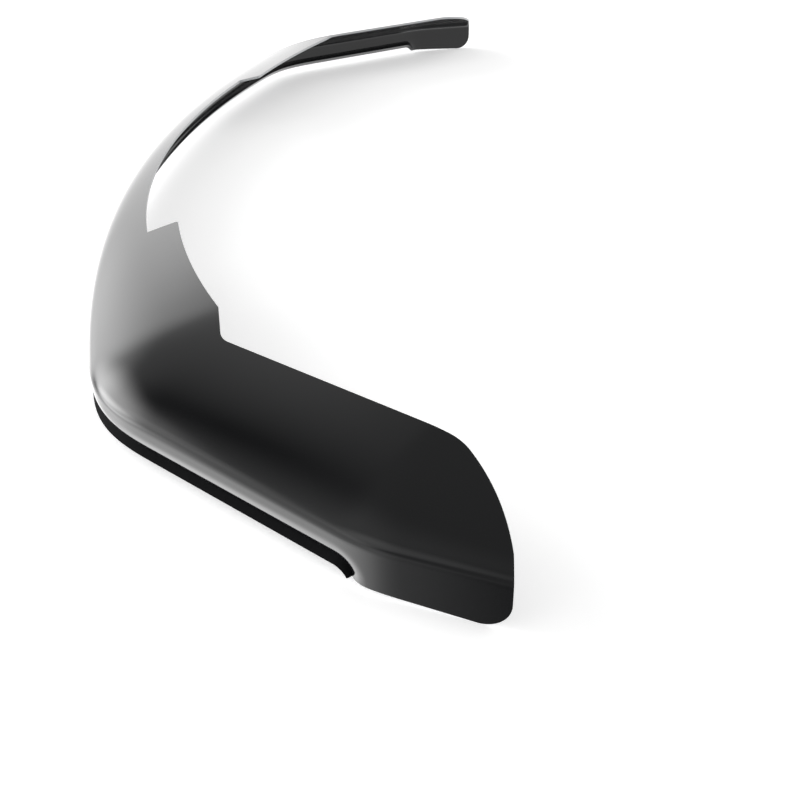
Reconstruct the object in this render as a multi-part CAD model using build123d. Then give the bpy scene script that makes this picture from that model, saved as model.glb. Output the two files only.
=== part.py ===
# Hood bug deflector: a one-piece shield formed from dark smoke acrylic sheet, held on by foam tape.
# Frame: X across the vehicle, -Y towards its nose, +Z up, with X = 0 as the plane of symmetry.
# It is drawn with Z = 0 at the sharp crease above the lip, and Y = 0 near the crease's two ends.
# Then it is moved, so that its origin is the middle of the centre tape's adhesive face.
from build123d import *
from math import cos, degrees, hypot, pi, radians, sin, sqrt
import os

# Sheet
SHEET = 3.0

# Nose line seen from above: half of the bowed front, a corner, the straight wing, a turn and the tail
FRONT_Y = -296.5
FRONT_RADIUS = 1740.0
FRONT_LENGTH = 489.0
CORNER_LENGTH = 140.0
WING_HEADING = radians(51.2)
WING_LENGTH = 171.0
FLAP_LENGTH = 60.0
FLAP_HEADING = radians(70.0)
TAIL_LENGTH = 92.0

# Section of the shield, from the nose back and up to the blank's rear edge
NOSE_Z = 18.0
NOSE_PULL = 16.0
REAR_DEPTH = 115.0
REAR_Z = 64.0
REAR_SLOPE = radians(13.0)
REAR_PULL = 56.0

# Rolled lower edge, and the lip that is folded out below the crease
ROLL_WIDTH = 12.5
ROLL_RADIUS = 20.0
LIP_HEIGHT = 5.0
LIP_FLARE = 4.2

# Lower edge seen from the side: the crease ends in a rounded notch, and the flap hangs below it
NOTCH_Y = -1.0
NOTCH_RADIUS = 10.5
FLAP_DROP = 11.0
FLAP_FALL = 4.8
FLAP_REAR_Y = 98.0
FLAP_CORNER_RADIUS = 20.0
BLANK_BELOW = 8.0

# Rear edge seen from above
BAND_Y = -263.0
BAND_RADIUS = 1020.0
TAB_INNER_X = 279.0
TAB_CORNER = (271.0, -196.0)
TAB_MIDDLE = (382.0, -161.0)
TAB_END = (472.0, -122.0)
STEP_END = (518.0, -112.5)
WING_EDGE_END = (654.0, 67.0)
REAR_EDGE_MIDDLE = (700.0, 88.5)
REAR_EDGE_END = (775.0, 99.5)
TAB_CORNER_ROUND = 3.0
TAB_END_ROUND = 4.0
STEP_ROUND = 22.0
WING_EDGE_ROUND = 60.0

# Foam tape
TAPE_WIDTH = 12.0
TAPE_THICKNESS = 1.1
TAPE_INSET = 5.0
TAPE_END_GAP = 14.0
GLUE_LINE = 0.1

# Arcs in each turn of the nose line, sections round the notch, and rows of points in a section
TURN_ARCS = 6
NOTCH_SECTIONS = 6
FADE_SECTIONS = 5
ROOF_ROWS = 6
WALL_ROWS = 5
SLOPE_STEP = 0.01

# Room round the model for the trimming tools, and the least length that counts
MARGIN = 40.0
LEAST = 1e-6


def smooth(t):
    """A ramp from 0 to 1 with no slope at its two ends."""
    t = min(max(t, 0.0), 1.0)
    return t * t * (3 - 2 * t)


def turn_runs(length, turn):
    """A turn of the nose line that starts and ends gently, as arcs of equal length."""
    ramp = [smooth(i / TURN_ARCS) for i in range(TURN_ARCS + 1)]
    return [(length / TURN_ARCS, turn * (b - a)) for a, b in zip(ramp, ramp[1:])]


def along(x, y, facing, length, turn):
    """Where a run of even curvature leads to."""
    chord = length if turn == 0 else 2 * length / turn * sin(turn / 2)
    return x + chord * cos(facing + turn / 2), y + chord * sin(facing + turn / 2)


def nose_runs():
    """Runs of the nose line on the right: start station, place and heading, length and turn."""
    front_turn = FRONT_LENGTH / FRONT_RADIUS
    shapes = [(FRONT_LENGTH, front_turn)]
    shapes += turn_runs(CORNER_LENGTH, WING_HEADING - front_turn)
    shapes.append((WING_LENGTH, 0.0))
    shapes += turn_runs(FLAP_LENGTH, FLAP_HEADING - WING_HEADING)
    shapes.append((TAIL_LENGTH, 0.0))
    runs = []
    s, x, y, facing = 0.0, 0.0, FRONT_Y, 0.0
    for length, turn in shapes:
        runs.append((s, x, y, facing, length, turn))
        x, y = along(x, y, facing, length, turn)
        s += length
        facing += turn
    return runs


NOSE_RUNS = nose_runs()
NOSE_LENGTH = FRONT_LENGTH + CORNER_LENGTH + WING_LENGTH + FLAP_LENGTH + TAIL_LENGTH


def nose_point(s):
    """Place and heading of the nose line at station s of its right half."""
    start, x, y, facing, length, turn = [run for run in NOSE_RUNS if run[0] <= s][-1]
    turned = turn * (s - start) / length
    x, y = along(x, y, facing, s - start, turned)
    return x, y, facing + turned


def station_at_y(y):
    """Station at which the nose line reaches y."""
    nearer, further = 0.0, NOSE_LENGTH
    while further - nearer > LEAST:
        s = (nearer + further) / 2
        if nose_point(s)[1] < y:
            nearer = s
        else:
            further = s
    return s


def place(s, out, z):
    """A point that lies out from the nose line at station s, at height z."""
    x, y, facing = nose_point(s)
    return Vector(x + out * sin(facing), y - out * cos(facing), z)


ROLL_DEPTH = ROLL_RADIUS - sqrt(ROLL_RADIUS**2 - ROLL_WIDTH**2)
ROLL_SHIFT = ROLL_DEPTH * cos(nose_point(station_at_y(NOTCH_Y))[2])
NOTCH_START = station_at_y(NOTCH_Y - NOTCH_RADIUS - ROLL_SHIFT)
NOTCH_END = station_at_y(NOTCH_Y - ROLL_SHIFT)
ROLL_END = station_at_y(NOTCH_Y + ROLL_WIDTH - ROLL_SHIFT)


def crease_y(s):
    """Where the crease lies along the vehicle at station s."""
    return nose_point(s)[1] + ROLL_SHIFT


def crease_height(s):
    """Height of the crease at station s: level, then down the round notch at its end."""
    back = crease_y(s) - (NOTCH_Y - NOTCH_RADIUS)
    back = min(max(back, 0.0), NOTCH_RADIUS)
    return sqrt(NOTCH_RADIUS**2 - back**2) - NOTCH_RADIUS


def distance_from_crease(y, z):
    """Distance of a point from the crease, seen from the side, round its notch as well."""
    back = y - (NOTCH_Y - NOTCH_RADIUS)
    up = z + NOTCH_RADIUS
    if back <= 0:
        return z
    if up <= 0:
        return back - NOTCH_RADIUS
    return hypot(back, up) - NOTCH_RADIUS


def roll(distance):
    """How far the rolled edge draws the skin in, at a distance from the crease."""
    reach = min(max(ROLL_WIDTH - distance, 0.0), ROLL_WIDTH)
    return ROLL_RADIUS - sqrt(ROLL_RADIUS**2 - reach**2)


def roof_profile(t):
    """Skin from the nose (t = 0) back over the hood (t = 1), as distance out and height."""
    corners = [
        (0.0, NOSE_Z),
        (0.0, NOSE_Z + NOSE_PULL),
        (-REAR_DEPTH + REAR_PULL * cos(REAR_SLOPE), REAR_Z - REAR_PULL * sin(REAR_SLOPE)),
        (-REAR_DEPTH, REAR_Z),
    ]
    weights = [(1 - t) ** 3, 3 * t * (1 - t) ** 2, 3 * t * t * (1 - t), t**3]
    out = sum(w * c[0] for w, c in zip(weights, corners))
    z = sum(w * c[1] for w, c in zip(weights, corners))
    return out, z


def roof_point(t, depth):
    """A point of the roof at a depth below the skin, square to it."""
    out, z = roof_profile(t)
    out_ahead, z_ahead = roof_profile(t + SLOPE_STEP)
    out_behind, z_behind = roof_profile(t - SLOPE_STEP)
    run, rise = out_ahead - out_behind, z_ahead - z_behind
    length = hypot(run, rise)
    return out - depth * rise / length, z + depth * run / length


def wall_point(y, z, depth):
    """A point of the wall at height z and at a depth below the skin, seen in section."""
    skin = roll(distance_from_crease(y, z))
    slope = (skin - roll(distance_from_crease(y, z + SLOPE_STEP))) / SLOPE_STEP
    return -skin - depth * hypot(1.0, slope), z


def roof_rows(depth):
    """Points of the roof at a depth, from its rear edge forward, short of the nose itself."""
    return [roof_point(1 - i / ROOF_ROWS, depth) for i in range(ROOF_ROWS)]


def sheet_rows(s, depth):
    """Points of the sheet at a depth, at station s, from its rear edge down to the crease."""
    drop = NOSE_Z - crease_height(s)
    y = crease_y(s)
    wall = [wall_point(y, NOSE_Z - drop * i / WALL_ROWS, depth) for i in range(WALL_ROWS + 1)]
    return roof_rows(depth) + wall


def shares_along(points):
    """Share of the way along a row of points at which each of them lies."""
    steps = [hypot(b[0] - a[0], b[1] - a[1]) for a, b in zip(points, points[1:])]
    return [sum(steps[:i]) / sum(steps) for i in range(len(points))]


def section(s, upper, lower, ends):
    """Closed outline at station s between two rows of points, with corners at its front end."""
    share = shares_along(sheet_rows(0.0, 0.0)[: len(upper)])
    top = [place(s, *p) for p in upper]
    under = [place(s, *p) for p in reversed(lower)]
    corners = [top[-1]] + [place(s, *p) for p in ends] + [under[0]]
    edges = [Edge.make_spline(top, parameters=share)]
    edges += [Edge.make_line(a, b) for a, b in zip(corners, corners[1:])]
    edges.append(Edge.make_spline(under, parameters=[1 - t for t in reversed(share)]))
    edges.append(Edge.make_line(under[-1], top[0]))
    return Wire(edges)


def lip_section(s):
    """Section of the front, with the lip folded out below the crease."""
    tip_z = crease_height(s) - LIP_HEIGHT
    tip_out = LIP_FLARE - ROLL_DEPTH
    width = SHEET * hypot(LIP_HEIGHT, LIP_FLARE) / LIP_HEIGHT
    ends = [(tip_out, tip_z), (tip_out - width, tip_z)]
    return section(s, sheet_rows(s, 0.0), sheet_rows(s, SHEET), ends)


def flap_section(s):
    """Section behind the notch, where the wall goes straight down past the flap's edge."""
    bottom = -FLAP_DROP - FLAP_FALL - BLANK_BELOW
    skin = sheet_rows(s, 0.0)
    under = sheet_rows(s, SHEET)
    return section(s, skin, under, [(skin[-1][0], bottom), (under[-1][0], bottom)])


def tape_section(s):
    """Section of the layer under the roof that the tape is cut from."""
    return section(s, roof_rows(SHEET + GLUE_LINE), roof_rows(SHEET + GLUE_LINE + TAPE_THICKNESS), [])


def swept(make_section, start, end):
    """The solid between two stations of the right half, where its section stays the same."""
    pieces = []
    for s, x, y, facing, length, turn in NOSE_RUNS:
        first, last = max(s, start), min(s + length, end)
        if last - first < LEAST:
            continue
        face = Face(make_section(first))
        if turn == 0:
            pieces.append(Solid.extrude(face, Vector(cos(facing), sin(facing)) * (last - first)))
            continue
        radius = length / turn
        centre = (x - radius * sin(facing), y + radius * cos(facing), 0)
        pieces.append(Solid.revolve(face, degrees((last - first) / radius), Axis(centre, (0, 0, 1))))
    return pieces


def bow(make_section):
    """The solid along the bowed front, from one corner to the other."""
    face = Face(make_section(FRONT_LENGTH))
    axis = Axis((0, FRONT_Y + FRONT_RADIUS, 0), (0, 0, 1))
    return Solid.revolve(face, -2 * degrees(FRONT_LENGTH / FRONT_RADIUS), axis)


def joined(middle, right):
    """A middle piece, its pieces on the right and their opposites, as one solid."""
    whole = middle
    for piece in right:
        whole = whole + piece + piece.mirror(Plane.YZ)
    return whole


def notch_stations():
    """Stations round the notch, which part its quarter circle into equal turns."""
    turns = [pi / 2 * i / NOTCH_SECTIONS for i in range(NOTCH_SECTIONS)]
    heights = [NOTCH_Y - NOTCH_RADIUS * (1 - sin(turn)) - ROLL_SHIFT for turn in turns]
    return [station_at_y(y) for y in heights] + [NOTCH_END]


def fade_stations():
    """Stations behind the notch, where the roll fades out of the wall."""
    return [NOTCH_END + (ROLL_END - NOTCH_END) * i / FADE_SECTIONS for i in range(FADE_SECTIONS + 1)]


def make_blank():
    """The formed sheet before its edges are cut: the front with its lip, and the two flaps."""
    right = swept(lip_section, FRONT_LENGTH, NOTCH_START)
    right.append(Solid.make_loft([lip_section(s) for s in notch_stations()], ruled=True))
    right.append(Solid.make_loft([flap_section(s) for s in fade_stations()], ruled=True))
    right += swept(flap_section, ROLL_END, NOSE_LENGTH)
    return joined(bow(lip_section), right)


def rear_edge():
    """Edges of the rear outline on the right, seen from above, starting at the middle."""
    band_end = BAND_Y + BAND_RADIUS - sqrt(BAND_RADIUS**2 - TAB_INNER_X**2)
    half_x = TAB_INNER_X / 2
    band_middle = BAND_Y + BAND_RADIUS - sqrt(BAND_RADIUS**2 - half_x**2)
    return [
        ThreePointArc((0, BAND_Y), (half_x, band_middle), (TAB_INNER_X, band_end)),
        Line((TAB_INNER_X, band_end), TAB_CORNER),
        ThreePointArc(TAB_CORNER, TAB_MIDDLE, TAB_END),
        Line(TAB_END, STEP_END),
        Line(STEP_END, WING_EDGE_END),
        ThreePointArc(WING_EDGE_END, REAR_EDGE_MIDDLE, REAR_EDGE_END),
    ]


def plan_outline():
    """Face that covers the shield seen from above, with its rear edge cut to shape."""
    right = rear_edge()
    side_x = REAR_EDGE_END[0] + MARGIN
    front = FRONT_Y - MARGIN
    right.append(Line(REAR_EDGE_END, (side_x, REAR_EDGE_END[1])))
    right.append(Line((side_x, REAR_EDGE_END[1]), (side_x, front)))
    right.append(Line((side_x, front), (0, front)))
    left = [edge.mirror(Plane.YZ) for edge in right]
    face = Face(Wire(right + left))
    rounds = [
        (TAB_CORNER, TAB_CORNER_ROUND),
        (TAB_END, TAB_END_ROUND),
        (STEP_END, STEP_ROUND),
        (WING_EDGE_END, WING_EDGE_ROUND),
    ]
    for (x, y), radius in rounds:
        for side in (1, -1):
            corner = face.vertices().sort_by_distance((side * x, y, 0))[0]
            face = face.fillet_2d(radius, [corner])
    return face


def upright(face):
    """The plan face as a tall block from below the lip to above the rear edge."""
    return extrude(face.moved(Location((0, 0, -MARGIN))), REAR_Z + 2 * MARGIN, dir=(0, 0, 1))


def flap_bottom(y):
    """Height of the flap's lower edge at y."""
    return -FLAP_DROP - FLAP_FALL * (y - NOTCH_Y) / (FLAP_REAR_Y - NOTCH_Y)


def side_block():
    """Block across the vehicle that ends at the flaps' lower and rear edges."""
    front = FRONT_Y - MARGIN
    top = REAR_Z + MARGIN
    corners = [
        (front, flap_bottom(NOTCH_Y)),
        (NOTCH_Y, flap_bottom(NOTCH_Y)),
        (FLAP_REAR_Y, flap_bottom(FLAP_REAR_Y)),
        (FLAP_REAR_Y, top),
        (front, top),
    ]
    face = Face(Wire.make_polygon([(y, z, 0) for y, z in corners], close=True))
    corner = face.vertices().sort_by_distance((FLAP_REAR_Y, flap_bottom(FLAP_REAR_Y), 0))[0]
    face = face.fillet_2d(FLAP_CORNER_RADIUS, [corner])
    width = 2 * (REAR_EDGE_END[0] + MARGIN)
    return extrude(Plane.YZ.offset(-width / 2) * face, width)


def make_shield():
    """The shield: one formed sheet, cut to its rear edge and to the edges of its flaps."""
    return make_blank() & upright(plan_outline()) & side_block()


def make_tapes():
    """Strips of foam tape under the roof, a small way in from the rear edge."""
    outline = plan_outline()
    layer = joined(bow(tape_section), swept(tape_section, FRONT_LENGTH, NOSE_LENGTH))
    outer = offset(outline, -TAPE_INSET)
    inner = offset(outline, -TAPE_INSET - TAPE_WIDTH)
    strips = layer & upright(outer) - upright(inner)
    depth = REAR_EDGE_END[1] - FRONT_Y + 2 * MARGIN
    spans = {
        "centre_tape": (-TAB_INNER_X, TAB_INNER_X),
        "tab_tape_right": (TAB_CORNER[0], TAB_END[0]),
        "wing_tape_right": (STEP_END[0], WING_EDGE_END[0]),
    }
    spans["tab_tape_left"] = tuple(-x for x in reversed(spans["tab_tape_right"]))
    spans["wing_tape_left"] = tuple(-x for x in reversed(spans["wing_tape_right"]))
    tapes = {}
    for name, (start, end) in spans.items():
        length = end - start - 2 * TAPE_END_GAP
        window = Box(length, depth, 2 * REAR_Z, align=(Align.CENTER, Align.MIN, Align.MIN))
        window = window.moved(Location(((start + end) / 2, FRONT_Y - MARGIN, 0)))
        tapes[name] = strips & window
    return tapes


def seat():
    """Middle of the centre tape's adhesive face, where the shield is seated on the hood."""
    y = BAND_Y - TAPE_INSET - TAPE_WIDTH / 2
    nearer, further = 0.0, 1.0
    while further - nearer > LEAST:
        t = (nearer + further) / 2
        out, z = roof_point(t, SHEET + GLUE_LINE + TAPE_THICKNESS)
        if FRONT_Y - out < y:
            nearer = t
        else:
            further = t
    return y, z


def main():
    os.makedirs("parts", exist_ok=True)
    seat_y, seat_z = seat()
    parts = {"shield": make_shield()}
    parts.update(make_tapes())
    for name, shape in parts.items():
        export_step(shape.moved(Location((0, -seat_y, -seat_z))), f"parts/{name}.step")


main()
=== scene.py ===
# Hood bug deflector: a shield formed from dark smoke acrylic sheet, with foam tape under its rear edge.
# Lengths are in metres. X runs along the shield's width, -Y out of its bowed front, and the camera
# stands beyond its +X end.
from math import acos, atan2, cos, hypot, pi, radians, sin, sqrt, tan

import bpy
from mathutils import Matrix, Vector


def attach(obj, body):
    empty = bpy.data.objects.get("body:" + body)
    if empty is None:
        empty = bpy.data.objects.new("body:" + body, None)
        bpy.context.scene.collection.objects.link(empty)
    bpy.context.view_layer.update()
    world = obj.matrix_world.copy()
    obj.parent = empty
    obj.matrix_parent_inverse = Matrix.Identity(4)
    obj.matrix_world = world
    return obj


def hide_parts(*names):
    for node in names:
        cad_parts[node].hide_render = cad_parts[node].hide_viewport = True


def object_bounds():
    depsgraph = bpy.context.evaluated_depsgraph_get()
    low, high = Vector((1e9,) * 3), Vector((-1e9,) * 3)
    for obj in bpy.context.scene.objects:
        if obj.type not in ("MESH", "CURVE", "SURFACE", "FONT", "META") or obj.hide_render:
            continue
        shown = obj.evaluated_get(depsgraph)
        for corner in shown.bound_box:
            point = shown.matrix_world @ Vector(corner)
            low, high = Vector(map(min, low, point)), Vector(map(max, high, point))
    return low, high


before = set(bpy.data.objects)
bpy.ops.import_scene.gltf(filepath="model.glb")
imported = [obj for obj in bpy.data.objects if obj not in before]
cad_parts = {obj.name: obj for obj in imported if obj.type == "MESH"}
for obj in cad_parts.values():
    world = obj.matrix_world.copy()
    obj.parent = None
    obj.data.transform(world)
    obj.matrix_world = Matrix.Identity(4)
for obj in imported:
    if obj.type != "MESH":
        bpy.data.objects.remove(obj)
cad_box = [list(corner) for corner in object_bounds()]
bpy.ops.object.select_all(action="DESELECT")


# Shield
# One sheet of dark smoke acrylic, 3 mm thick, heated and drawn down over a mould, so that its lip, its
# rolled lower edge and its two end flaps are the same sheet. Its outline is cut last, and polished.
SHEET = 0.003
FRONT_Y = -0.2965
FRONT_RADIUS = 1.740
CORNER_AT = 0.559
CORNER_LENGTH = 0.140
WING_HEADING = radians(51.2)
FLAP_AT = 0.830
FLAP_LENGTH = 0.060
FLAP_HEADING = radians(70.0)
NOSE_LENGTH = 0.952

NOSE_Z = 0.018
NOSE_PULL = 0.016
REAR_DEPTH = 0.115
REAR_Z = 0.064
REAR_SLOPE = radians(13.0)
REAR_PULL = 0.056

ROLL_WIDTH = 0.0125
ROLL_RADIUS = 0.020
LIP_HEIGHT = 0.005
LIP_FLARE = 0.0042

NOTCH_Y = -0.001
NOTCH_RADIUS = 0.0105
FLAP_DROP = 0.011
FLAP_FALL = 0.0048
FLAP_REAR_Y = 0.098
FLAP_CORNER_RADIUS = 0.020
BLANK_BOTTOM = -0.024

BAND_Y = -0.263
BAND_RADIUS = 1.020
TAB_INNER_X = 0.279
TAB_CORNER = (0.271, -0.196)
TAB_MIDDLE = (0.382, -0.161)
TAB_END = (0.472, -0.122)
STEP_END = (0.518, -0.1125)
WING_EDGE_END = (0.654, 0.067)
REAR_EDGE_MIDDLE = (0.700, 0.0885)
REAR_EDGE_END = (0.775, 0.0995)
TAB_CORNER_ROUND = 0.003
TAB_END_ROUND = 0.004
STEP_ROUND = 0.022
WING_EDGE_ROUND = 0.060

# The model's origin, the seat under the centre tape, in the lengths above
SEAT_Y = -0.274
SEAT_Z = 0.031878

TURN_ARCS = 24
ROOF_ROWS = 30
WALL_ROWS = 14
LIP_ROWS = 4
NOTCH_STATIONS = 24
BOW_STEP = 0.006
TURN_STEP = 0.003
FADE_STEP = 0.001
OUTLINE_STEP = 0.002
SLOPE_STEP = 0.00001
LIP_STEP = 0.0001
MERGE_GAP = 1e-6
HALVINGS = 40
SHARP_ANGLE = radians(32)
MARGIN = 0.040

# Places of the lip's and the cut edge's finish in the shield's list, after the acrylic
LIP_SLOT = 1
CUT_SLOT = 2


def smooth(t):
    """A ramp from 0 to 1 with no slope at its two ends."""
    t = min(max(t, 0.0), 1.0)
    return t * t * (3 - 2 * t)


def turn_runs(length, turn):
    """A turn of the nose line that starts and ends gently, as short arcs."""
    ramp = [smooth(i / TURN_ARCS) for i in range(TURN_ARCS + 1)]
    return [(length / TURN_ARCS, turn * (b - a)) for a, b in zip(ramp, ramp[1:])]


def along(x, y, facing, length, turn):
    """Where a run of even curvature leads to."""
    chord = length if turn == 0 else 2 * length / turn * sin(turn / 2)
    return x + chord * cos(facing + turn / 2), y + chord * sin(facing + turn / 2)


def nose_runs():
    """Runs of the nose line: start station, place and heading, length and turn."""
    corner_start = CORNER_AT - CORNER_LENGTH / 2
    flap_start = FLAP_AT - FLAP_LENGTH / 2
    bow = corner_start / FRONT_RADIUS
    shapes = [(corner_start, bow)]
    shapes += turn_runs(CORNER_LENGTH, WING_HEADING - bow)
    shapes.append((flap_start - corner_start - CORNER_LENGTH, 0.0))
    shapes += turn_runs(FLAP_LENGTH, FLAP_HEADING - WING_HEADING)
    shapes.append((NOSE_LENGTH - flap_start - FLAP_LENGTH, 0.0))
    runs = []
    s, x, y, facing = 0.0, 0.0, FRONT_Y, 0.0
    for length, turn in shapes:
        runs.append((s, x, y, facing, length, turn))
        x, y = along(x, y, facing, length, turn)
        s += length
        facing += turn
    return runs


NOSE_RUNS = nose_runs()


def nose_point(s):
    """Place and heading of the nose line at station s of the shield's +X half."""
    start, x, y, facing, length, turn = [run for run in NOSE_RUNS if run[0] <= s][-1]
    turned = turn * (s - start) / length
    x, y = along(x, y, facing, s - start, turned)
    return x, y, facing + turned


def station_at_y(y):
    """Station at which the nose line reaches y."""
    nearer, further = 0.0, NOSE_LENGTH
    for _ in range(HALVINGS):
        s = (nearer + further) / 2
        if nose_point(s)[1] < y:
            nearer = s
        else:
            further = s
    return s


ROLL_DEPTH = ROLL_RADIUS - sqrt(ROLL_RADIUS**2 - ROLL_WIDTH**2)
ROLL_SHIFT = ROLL_DEPTH * cos(nose_point(station_at_y(NOTCH_Y))[2])
NOTCH_START = station_at_y(NOTCH_Y - NOTCH_RADIUS - ROLL_SHIFT)
NOTCH_END = station_at_y(NOTCH_Y - ROLL_SHIFT)
ROLL_END = station_at_y(NOTCH_Y + ROLL_WIDTH - ROLL_SHIFT)
LIP_END = NOTCH_END + LIP_STEP


def crease_y(s):
    """Where the crease lies along Y at station s."""
    return nose_point(s)[1] + ROLL_SHIFT


def crease_height(s):
    """Height of the crease at station s: level, then down the round notch at its end."""
    back = min(max(crease_y(s) - (NOTCH_Y - NOTCH_RADIUS), 0.0), NOTCH_RADIUS)
    return sqrt(NOTCH_RADIUS**2 - back**2) - NOTCH_RADIUS


def distance_from_crease(y, z):
    """Distance of a point from the crease, seen from the side, round its notch as well."""
    back = y - (NOTCH_Y - NOTCH_RADIUS)
    up = z + NOTCH_RADIUS
    if back <= 0:
        return z
    if up <= 0:
        return back - NOTCH_RADIUS
    return hypot(back, up) - NOTCH_RADIUS


def roll(distance):
    """How far the rolled edge draws the skin in, at a distance from the crease."""
    reach = min(max(ROLL_WIDTH - distance, 0.0), ROLL_WIDTH)
    return ROLL_RADIUS - sqrt(ROLL_RADIUS**2 - reach**2)


def roof_profile(t):
    """Skin from the nose (t = 0) back to the blank's rear edge (t = 1), as distance out and height."""
    corners = [
        (0.0, NOSE_Z),
        (0.0, NOSE_Z + NOSE_PULL),
        (-REAR_DEPTH + REAR_PULL * cos(REAR_SLOPE), REAR_Z - REAR_PULL * sin(REAR_SLOPE)),
        (-REAR_DEPTH, REAR_Z),
    ]
    weights = [(1 - t) ** 3, 3 * t * (1 - t) ** 2, 3 * t * t * (1 - t), t**3]
    out = sum(w * c[0] for w, c in zip(weights, corners))
    z = sum(w * c[1] for w, c in zip(weights, corners))
    return out, z


def roof_point(t, depth):
    """A point of the roof at a depth below the skin, square to it."""
    out, z = roof_profile(t)
    out_ahead, z_ahead = roof_profile(t + 0.01)
    out_behind, z_behind = roof_profile(t - 0.01)
    run, rise = out_ahead - out_behind, z_ahead - z_behind
    length = hypot(run, rise)
    return out - depth * rise / length, z + depth * run / length


def wall_point(y, z, depth):
    """A point of the wall at height z and at a depth below the skin, seen in section."""
    skin = roll(distance_from_crease(y, z))
    slope = (skin - roll(distance_from_crease(y, z + SLOPE_STEP))) / SLOPE_STEP
    return -skin - depth * hypot(1.0, slope), z


def face_rows(s, depth):
    """Points of one face of the sheet at station s, from its rear edge down to the crease."""
    drop = NOSE_Z - crease_height(s)
    y = crease_y(s)
    roof = [roof_point(1 - i / ROOF_ROWS, depth) for i in range(ROOF_ROWS)]
    wall = [wall_point(y, NOSE_Z - drop * i / WALL_ROWS, depth) for i in range(WALL_ROWS + 1)]
    return roof + wall


def between(start, end, count):
    """Points spaced evenly after start, up to and with end."""
    return [tuple(a + (b - a) * (i + 1) / count for a, b in zip(start, end)) for i in range(count)]


def section_rows(s):
    """The sheet's section at station s, once round: outer face, lip, cut edge and inner face."""
    skin = face_rows(s, 0.0)
    under = face_rows(s, SHEET)
    if s < LIP_END:
        tip_z = crease_height(s) - LIP_HEIGHT
        tip_out = LIP_FLARE - ROLL_DEPTH
        width = SHEET * hypot(LIP_HEIGHT, LIP_FLARE) / LIP_HEIGHT
        tips = [(tip_out, tip_z), (tip_out - width, tip_z)]
    else:
        tips = [(skin[-1][0], BLANK_BOTTOM), (under[-1][0], BLANK_BOTTOM)]
    outer = skin + between(skin[-1], tips[0], LIP_ROWS)
    inner = under + between(under[-1], tips[1], LIP_ROWS)
    return outer + inner[::-1]


def spread(start, end, step):
    """Stations from start to end, without the end, at about a step."""
    count = max(1, round((end - start) / step))
    return [start + (end - start) * i / count for i in range(count)]


def left_stations():
    """Stations from the middle to the wing's end, close together where the shape turns."""
    corner = CORNER_AT - CORNER_LENGTH / 2
    wing = CORNER_AT + CORNER_LENGTH / 2
    flap = FLAP_AT - FLAP_LENGTH / 2
    tail = FLAP_AT + FLAP_LENGTH / 2
    turns = [pi / 2 * i / NOTCH_STATIONS for i in range(NOTCH_STATIONS)]
    notch = [station_at_y(NOTCH_Y - NOTCH_RADIUS * (1 - sin(turn)) - ROLL_SHIFT) for turn in turns]
    stations = spread(0.0, corner, BOW_STEP) + spread(corner, wing, TURN_STEP)
    stations += spread(wing, flap, BOW_STEP) + spread(flap, NOTCH_START, TURN_STEP) + notch
    stations += [NOTCH_END, NOTCH_END + 2 * (LIP_END - NOTCH_END)]
    stations += spread(NOTCH_END + FADE_STEP, ROLL_END, FADE_STEP)
    stations += spread(ROLL_END, tail, TURN_STEP)
    return stations + spread(tail, NOSE_LENGTH, BOW_STEP) + [NOSE_LENGTH]


def formed_blank():
    """The formed sheet before it is cut: a grid that is bent round its section, and closed."""
    half = left_stations()
    stations = [-s for s in half[:0:-1]] + half
    rings = [section_rows(abs(s)) for s in stations]
    rows = len(rings[0])
    bpy.ops.mesh.primitive_grid_add(x_subdivisions=len(stations) - 1, y_subdivisions=rows, size=1)
    blank = bpy.context.object
    last_column = len(stations) - 1
    for vertex in blank.data.vertices:
        column = round((vertex.co.x + 0.5) * last_column)
        row = round((vertex.co.y + 0.5) * rows) % rows
        s = stations[column]
        out, z = rings[column][row]
        x, y, facing = nose_point(abs(s))
        side = 1 if s >= 0 else -1
        x = side * (x + out * sin(facing))
        vertex.co = (x, y - out * cos(facing) - SEAT_Y, z - SEAT_Z)
    crease_row = ROOF_ROWS + WALL_ROWS
    tip_row = crease_row + LIP_ROWS
    for face in blank.data.polygons:
        row, column = divmod(face.index, last_column)
        in_lip = max(abs(stations[column]), abs(stations[column + 1])) <= LIP_END
        if in_lip and crease_row <= row < tip_row:
            face.material_index = LIP_SLOT
        if in_lip and row == tip_row:
            face.material_index = CUT_SLOT
    bpy.ops.object.mode_set(mode="EDIT")
    bpy.ops.mesh.select_all(action="SELECT")
    bpy.ops.mesh.remove_doubles(threshold=MERGE_GAP)
    bpy.ops.mesh.fill_holes(sides=0)
    bpy.ops.mesh.select_all(action="SELECT")
    bpy.ops.mesh.normals_make_consistent(inside=False)
    bpy.ops.object.mode_set(mode="OBJECT")
    return blank


def arc_points(start, middle, end):
    """Points along the arc through three points, without its end."""
    (ax, ay), (bx, by), (cx, cy) = start, middle, end
    d = 2 * (ax * (by - cy) + bx * (cy - ay) + cx * (ay - by))
    a, b, c = ax * ax + ay * ay, bx * bx + by * by, cx * cx + cy * cy
    x = (a * (by - cy) + b * (cy - ay) + c * (ay - by)) / d
    y = (a * (cx - bx) + b * (ax - cx) + c * (bx - ax)) / d
    radius = hypot(ax - x, ay - y)
    first, last = atan2(ay - y, ax - x), atan2(cy - y, cx - x)
    turn = (last - first + pi) % (2 * pi) - pi
    count = max(2, round(abs(turn) * radius / OUTLINE_STEP))
    angles = [first + turn * i / count for i in range(count)]
    return [(x + radius * cos(angle), y + radius * sin(angle)) for angle in angles]


def line_points(start, end):
    """Points along a straight line, without its end."""
    count = max(1, round(hypot(end[0] - start[0], end[1] - start[1]) / OUTLINE_STEP))
    return [tuple(a + (b - a) * i / count for a, b in zip(start, end)) for i in range(count)]


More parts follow.
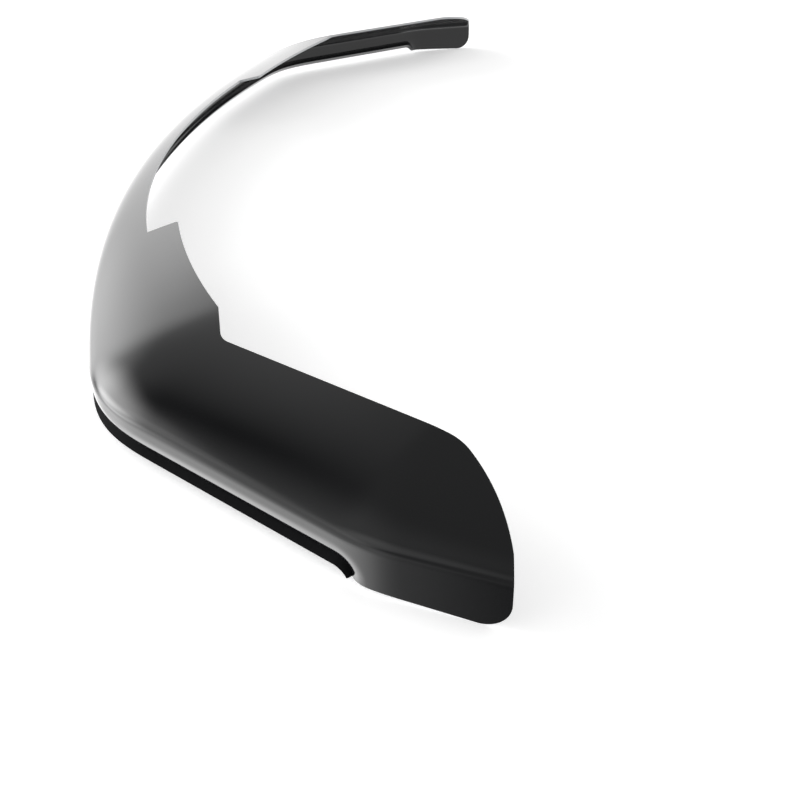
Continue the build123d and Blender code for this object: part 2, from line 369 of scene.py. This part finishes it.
def walked(path, distance):
    """The point at a distance along a path, its direction there, and the path's points after it."""
    for i, (a, b) in enumerate(zip(path, path[1:])):
        step = (b - a).length
        if distance < step:
            return a + (b - a) * distance / step, (b - a).normalized(), path[i + 1 :]
        distance -= step
    return path[-1], (path[-1] - path[-2]).normalized(), []


def rounded(outline, corner, radius):
    """An outline with one of its corners made round."""
    points = [Vector(p) for p in outline]
    at = min(range(len(points)), key=lambda i: (points[i] - Vector(corner)).length)
    before, after = points[at::-1], points[at:]
    arriving = (points[at] - points[at - 1]).normalized()
    leaving = (points[at + 1] - points[at]).normalized()
    turn = acos(max(-1.0, min(1.0, arriving.dot(leaving))))
    reach = radius * tan(turn / 2)
    start, back, kept_before = walked(before, reach)
    end, onward, kept_after = walked(after, reach)
    handle = 4 / 3 * tan(turn / 4) * radius
    pulls = [start, start - back * handle, end - onward * handle, end]
    count = max(4, round(radius * turn / OUTLINE_STEP * 2))
    bend = []
    for i in range(count + 1):
        t = i / count
        weights = [(1 - t) ** 3, 3 * t * (1 - t) ** 2, 3 * t * t * (1 - t), t**3]
        bend.append(sum((w * p for w, p in zip(weights, pulls)), Vector((0, 0))))
    return [tuple(p) for p in kept_before[::-1] + bend + kept_after]


def plan_outline():
    """Outline of the shield's plan, cut to its rear edge and open in front."""
    drop = [BAND_RADIUS - sqrt(BAND_RADIUS**2 - x**2) for x in (TAB_INNER_X / 2, TAB_INNER_X)]
    band_end = (TAB_INNER_X, BAND_Y + drop[1])
    side_x = REAR_EDGE_END[0] + MARGIN
    front = FRONT_Y - MARGIN
    half = arc_points((0, BAND_Y), (TAB_INNER_X / 2, BAND_Y + drop[0]), band_end)
    half += line_points(band_end, TAB_CORNER)
    half += arc_points(TAB_CORNER, TAB_MIDDLE, TAB_END)
    half += line_points(TAB_END, STEP_END)
    half += line_points(STEP_END, WING_EDGE_END)
    half += arc_points(WING_EDGE_END, REAR_EDGE_MIDDLE, REAR_EDGE_END)
    half += [REAR_EDGE_END, (side_x, REAR_EDGE_END[1]), (side_x, front)]
    half = rounded(half, TAB_CORNER, TAB_CORNER_ROUND)
    half = rounded(half, TAB_END, TAB_END_ROUND)
    half = rounded(half, STEP_END, STEP_ROUND)
    half = rounded(half, WING_EDGE_END, WING_EDGE_ROUND)
    return half + [(-x, y) for x, y in half[:0:-1]]


def side_outline():
    """Outline from the side, cut to the flap's lower and rear edges and open in front."""
    front = FRONT_Y - MARGIN
    top = REAR_Z + MARGIN
    outline = [(front, -FLAP_DROP), (NOTCH_Y, -FLAP_DROP)]
    outline += line_points((NOTCH_Y, -FLAP_DROP), (FLAP_REAR_Y, -FLAP_DROP - FLAP_FALL))[1:]
    outline += line_points((FLAP_REAR_Y, -FLAP_DROP - FLAP_FALL), (FLAP_REAR_Y, top))
    outline += [(FLAP_REAR_Y, top), (front, top)]
    return rounded(outline, (FLAP_REAR_Y, -FLAP_DROP - FLAP_FALL), FLAP_CORNER_RADIUS)


def saw_block(corners, reach):
    """A block with these corners at one end, drawn out along reach."""
    bpy.ops.mesh.primitive_circle_add(vertices=len(corners), fill_type="NGON")
    block = bpy.context.object
    for vertex, corner in zip(block.data.vertices, corners):
        vertex.co = corner
    bpy.ops.object.mode_set(mode="EDIT")
    bpy.ops.mesh.select_all(action="SELECT")
    bpy.ops.mesh.extrude_region_move(TRANSFORM_OT_translate={"value": reach})
    bpy.ops.mesh.select_all(action="SELECT")
    bpy.ops.mesh.normals_make_consistent(inside=False)
    bpy.ops.object.mode_set(mode="OBJECT")
    return block


def keep_inside(piece, block):
    """Cuts a piece to what lies inside a block. The cut takes the block's material."""
    cut = piece.modifiers.new("cut", "BOOLEAN")
    cut.operation = "INTERSECT"
    cut.solver = "EXACT"
    cut.material_mode = "TRANSFER"
    cut.object = block
    bpy.context.view_layer.objects.active = piece
    bpy.ops.object.modifier_apply(modifier=cut.name)
    bpy.data.objects.remove(block)


class Value:
    """A socket of a shader. Operators on it add Math nodes, and node adds any other."""

    def __init__(self, tree, socket=None):
        self.tree = tree
        self.socket = socket

    def node(self, kind, settings={}, inputs={}, output=0):
        made = self.tree.nodes.new("ShaderNode" + kind)
        for name, setting in settings.items():
            setattr(made, name, setting)
        for name, value in inputs.items():
            if isinstance(value, Value):
                self.tree.links.new(value.socket, made.inputs[name])
            else:
                made.inputs[name].default_value = value
        return Value(self.tree, made.outputs[output])

    def maths(self, operation, first, second):
        return self.node("Math", {"operation": operation}, {0: first, 1: second})

    def __add__(self, other):
        return self.maths("ADD", self, other)

    def __radd__(self, other):
        return self.maths("ADD", other, self)

    def __mul__(self, other):
        return self.maths("MULTIPLY", self, other)

    def __rmul__(self, other):
        return self.maths("MULTIPLY", other, self)

    def ramp(self, low, high):
        """A smooth ramp from 0 at low to 1 at high."""
        settings = {"interpolation_type": "SMOOTHSTEP"}
        return self.node("MapRange", settings, {"Value": self, "From Min": low, "From Max": high})


def new_material(name):
    """An empty material, a Value to start its nodes from, and its output node."""
    material = bpy.data.materials.new(name)
    material.use_nodes = True
    material.node_tree.nodes.clear()
    output = material.node_tree.nodes.new("ShaderNodeOutputMaterial")
    return material, Value(material.node_tree), output


def surface(start, output, color, roughness, normal=None, **fixed):
    """The finish of a surface, from its color, its roughness and its bump."""
    inputs = {"Base Color": color, "Roughness": roughness}
    if normal is not None:
        inputs["Normal"] = normal
    for name, value in fixed.items():
        inputs[name.replace("_", " ")] = value
    shader = start.node("BsdfPrincipled", {}, inputs)
    start.tree.links.new(shader.socket, output.inputs["Surface"])


def noise(start, scale, detail, place):
    """Noise from 0 to 1 at a number of cells to the metre."""
    return start.node("TexNoise", {}, {"Vector": place, "Scale": scale, "Detail": detail})


def mixed(start, factor, first, second):
    """A color between two others."""
    inputs = {"Factor": factor, 6: first, 7: second}
    return start.node("Mix", {"data_type": "RGBA"}, inputs, output=2)


ACRYLIC_IOR = 1.49
SMOKE_DARK = (0.0026, 0.0028, 0.0032, 1)
SMOKE_PALE = (0.0040, 0.0042, 0.0048, 1)
# The cut edge's pale grey is partly the sawn edge's own scatter of light and partly a painted highlight.
CUT_HIGHLIGHT_DARK = (0.42, 0.43, 0.44, 1)
CUT_HIGHLIGHT_PALE = (0.56, 0.57, 0.58, 1)
# The lip's near-black colour and its all but removed specular are a painted dark reflection, not a satin
# finish.
LIP_DARK = (0.0070, 0.0071, 0.0076, 1)
LIP_PALE = (0.0105, 0.0107, 0.0114, 1)
LIP_SPECULAR = 0.004


def smoked_acrylic():
    """Polished sheet, nearly black, with a trace of haze and of the long waves that forming leaves."""
    material, start, output = new_material("smoked_acrylic")
    place = start.node("TexCoord", output="Object")
    haze = noise(start, 9.0, 3.0, place)
    tint = mixed(start, haze, SMOKE_DARK, SMOKE_PALE)
    waves = noise(start, 14.0, 1.0, place)
    bump = start.node("Bump", {}, {"Strength": 0.12, "Distance": 0.0006, "Height": waves})
    surface(start, output, tint, 0.09 + 0.05 * haze, bump, IOR=ACRYLIC_IOR)
    return material


def cut_edge_painted_highlight():
    """The sheet's sawn and flamed edge, paler than its faces partly because it scatters light inside and
    partly as a painted highlight for the light the edge catches.
    """
    material, start, output = new_material("cut_edge_painted_highlight")
    place = start.node("TexCoord", output="Object")
    saw = noise(start, 900.0, 2.0, place)
    tint = mixed(start, saw, CUT_HIGHLIGHT_DARK, CUT_HIGHLIGHT_PALE)
    surface(start, output, tint, 0.22 + 0.16 * saw, IOR=ACRYLIC_IOR)
    return material


def lip_painted_dark_reflection():
    """The lip's outer face, near black with its gloss all but taken off: a painted dark reflection of what
    lies below it in use.
    """
    material, start, output = new_material("lip_painted_dark_reflection")
    place = start.node("TexCoord", output="Object")
    rub = noise(start, 240.0, 3.0, place)
    tint = mixed(start, rub, LIP_DARK, LIP_PALE)
    fixed = {"IOR": ACRYLIC_IOR, "Specular IOR Level": LIP_SPECULAR}
    surface(start, output, tint, 0.34 + 0.10 * rub, **fixed)
    return material


acrylic = smoked_acrylic()
lip_face = lip_painted_dark_reflection()
cut_edge = cut_edge_painted_highlight()

shield = formed_blank()
shield.name = "formed_shield"
for finish in (acrylic, lip_face, cut_edge):
    shield.data.materials.append(finish)

below = -MARGIN - SEAT_Z
plan = [(x, y - SEAT_Y, below) for x, y in plan_outline()]
plan_block = saw_block(plan, (0, 0, REAR_Z + 2 * MARGIN))
plan_block.data.materials.append(cut_edge)
keep_inside(shield, plan_block)

half_width = REAR_EDGE_END[0] + MARGIN
side = [(-half_width, y - SEAT_Y, z - SEAT_Z) for y, z in side_outline()]
side_block = saw_block(side, (2 * half_width, 0, 0))
side_block.data.materials.append(cut_edge)
keep_inside(shield, side_block)

bpy.ops.object.select_all(action="DESELECT")
shield.select_set(True)
bpy.context.view_layer.objects.active = shield
bpy.ops.object.shade_smooth_by_angle(angle=SHARP_ANGLE)
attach(shield, "root")
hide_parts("shield")


# Foam tape
# Strips of black closed-cell foam with acrylic adhesive on both faces, stuck under the rear edge. The
# shield is mounted by their lower face. The foam's cells show as fine pits on the sides.
FOAM_DARK = (0.018, 0.018, 0.019, 1)
FOAM_PALE = (0.034, 0.034, 0.036, 1)


def foam():
    """Matt black foam with fine open cells."""
    material, start, output = new_material("foam_tape")
    place = start.node("TexCoord", output="Object")
    cells = start.node("TexVoronoi", {}, {"Vector": place, "Scale": 1600.0})
    patches = noise(start, 60.0, 4.0, place)
    tint = mixed(start, patches, FOAM_DARK, FOAM_PALE)
    bump = start.node("Bump", {}, {"Strength": 0.5, "Distance": 0.0003, "Height": cells})
    surface(start, output, tint, 0.78 + 0.15 * patches, bump)
    return material


foam_tape = foam()
for name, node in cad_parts.items():
    if "tape" in name:
        for slot in node.material_slots:
            slot.material = foam_tape


# Floor
# A pale matt studio floor that the shield's end flaps stand on. The camera alone sees it lifted to
# white. Gloss and the low lamps' light pass through it, so the shield mirrors them without a break.
FLOOR_SIZE = 16.0
FLOOR_WHITE = (0.90, 0.90, 0.90, 1)
FLOOR_PALEST = (0.92, 0.92, 0.92, 1)
BLACK = (0, 0, 0, 1)
WHITE = (1, 1, 1, 1)
FLOOR_LIFT = 0.42
FLOOR_ROUGHNESS = 0.9


def studio_floor():
    """A matt pale floor that keeps the shield's shadow, white to the camera and clear to gloss."""
    material, start, output = new_material("studio_floor")
    place = start.node("TexCoord", output="Object")
    mottle = noise(start, 3.0, 2.0, place)
    tint = mixed(start, mottle, FLOOR_WHITE, FLOOR_PALEST)
    seen = start.node("LightPath", output="Is Camera Ray")
    lift = mixed(start, seen, BLACK, WHITE)
    inputs = {
        "Base Color": tint,
        "Roughness": FLOOR_ROUGHNESS,
        "Specular IOR Level": 0.0,
        "Emission Color": lift,
        "Emission Strength": FLOOR_LIFT,
    }
    matt = start.node("BsdfPrincipled", {}, inputs)
    clear = start.node("BsdfTransparent")
    gloss = start.node("LightPath", output="Is Glossy Ray")
    shadow = start.node("LightPath", output="Is Shadow Ray")
    through = gloss.maths("MAXIMUM", gloss, shadow)
    shader = start.node("MixShader", {}, {0: through, 1: matt, 2: clear})
    start.tree.links.new(shader.socket, output.inputs["Surface"])
    return material


bpy.ops.mesh.primitive_plane_add(size=FLOOR_SIZE, location=(0, 0, cad_box[0][2]))
floor = bpy.context.object
floor.name = "studio_floor"
floor.data.materials.append(studio_floor())


# Light
# Soft round lamps stand about the shield, with the key low in front of its near corner. Two black
# flags, of negative strength, take light off the wing's upper face and off the end flap.
ROOM = 0.33
REAR_LIGHT = 0.7
REAR_START = 0.15
REAR_FULL = 0.5
NARROWEST = 0.5

# Azimuth from +X, elevation, half width and softness, all in degrees, and strength
LAMPS = [
    (246.6, 18.9, 12.4, 12.6, 5.07),
    (257.5, 1.6, 15.8, 7.0, 3.60),
    (229.3, 13.0, 9.7, 12.0, 1.41),
    (223.3, -59.3, 39.7, 25.1, 1.85),
    (209.4, 1.3, 21.4, 5.0, 1.35),
    (280.1, -16.0, 38.0, 9.3, 1.00),
    (264.3, -10.7, 10.7, 9.6, 0.91),
    (304.3, 27.7, 13.3, 11.1, 0.81),
    (212.4, 29.5, 17.3, 8.6, 0.47),
    (276.9, 41.7, 17.4, 18.1, 0.39),
    (238.2, 28.5, 24.6, 8.8, -0.35),
    (257.1, -60.2, 17.9, 10.1, 0.85),
    (275.4, -30.3, 18.5, 13.1, 0.25),
    (322.0, -40.0, 16.0, 9.0, -0.22),
    (267.0, 24.0, 6.5, 6.0, 0.90),
    (292.0, -38.0, 8.5, 8.0, 0.40),
]


def studio_world():
    """The light that comes from each direction, and plain white where the camera sees past the floor."""
    world = bpy.data.worlds.new("studio")
    world.use_nodes = True
    world.node_tree.nodes.clear()
    output = world.node_tree.nodes.new("ShaderNodeOutputWorld")
    start = Value(world.node_tree)
    direction = start.node("TexCoord", output="Generated")
    y = start.node("SeparateXYZ", {}, {0: direction}, output="Y")
    light = ROOM + REAR_LIGHT * y.ramp(REAR_START, REAR_FULL)
    for azimuth, elevation, radius, softness, strength in LAMPS:
        level = cos(radians(elevation))
        toward = (level * cos(radians(azimuth)), level * sin(radians(azimuth)), sin(radians(elevation)))
        facing = start.node("VectorMath", {"operation": "DOT_PRODUCT"}, {0: direction, 1: toward}, "Value")
        outer = cos(radians(radius + softness))
        inner = cos(radians(max(radius - softness, NARROWEST)))
        light = light + strength * facing.ramp(outer, inner)
    studio = start.node("Background", {}, {"Color": WHITE, "Strength": light})
    white = start.node("Background", {}, {"Color": WHITE, "Strength": 1.0})
    seen = start.node("LightPath", output="Is Camera Ray")
    shown = start.node("MixShader", {}, {0: seen, 1: studio, 2: white})
    start.tree.links.new(shown.socket, output.inputs["Surface"])
    return world


bpy.context.scene.world = studio_world()
bpy.context.scene.view_settings.view_transform = "Standard"


# Camera
# It stands beyond the shield's +X end and above it, and looks along it and down.
CAMERA_PLACE = (1.2813, 0.3235, 0.41552)
CAMERA_AZIMUTH = radians(92)
CAMERA_ELEVATION = radians(30)
CAMERA_LENS = 51.3
CAMERA_SENSOR = 36.0
CAMERA_NEAREST = 0.01

bpy.ops.object.camera_add(location=CAMERA_PLACE, rotation=(pi / 2 - CAMERA_ELEVATION, 0, CAMERA_AZIMUTH))
camera = bpy.context.object
camera.data.sensor_width = CAMERA_SENSOR
camera.data.lens = CAMERA_LENS
camera.data.clip_start = CAMERA_NEAREST
bpy.context.scene.camera = camera
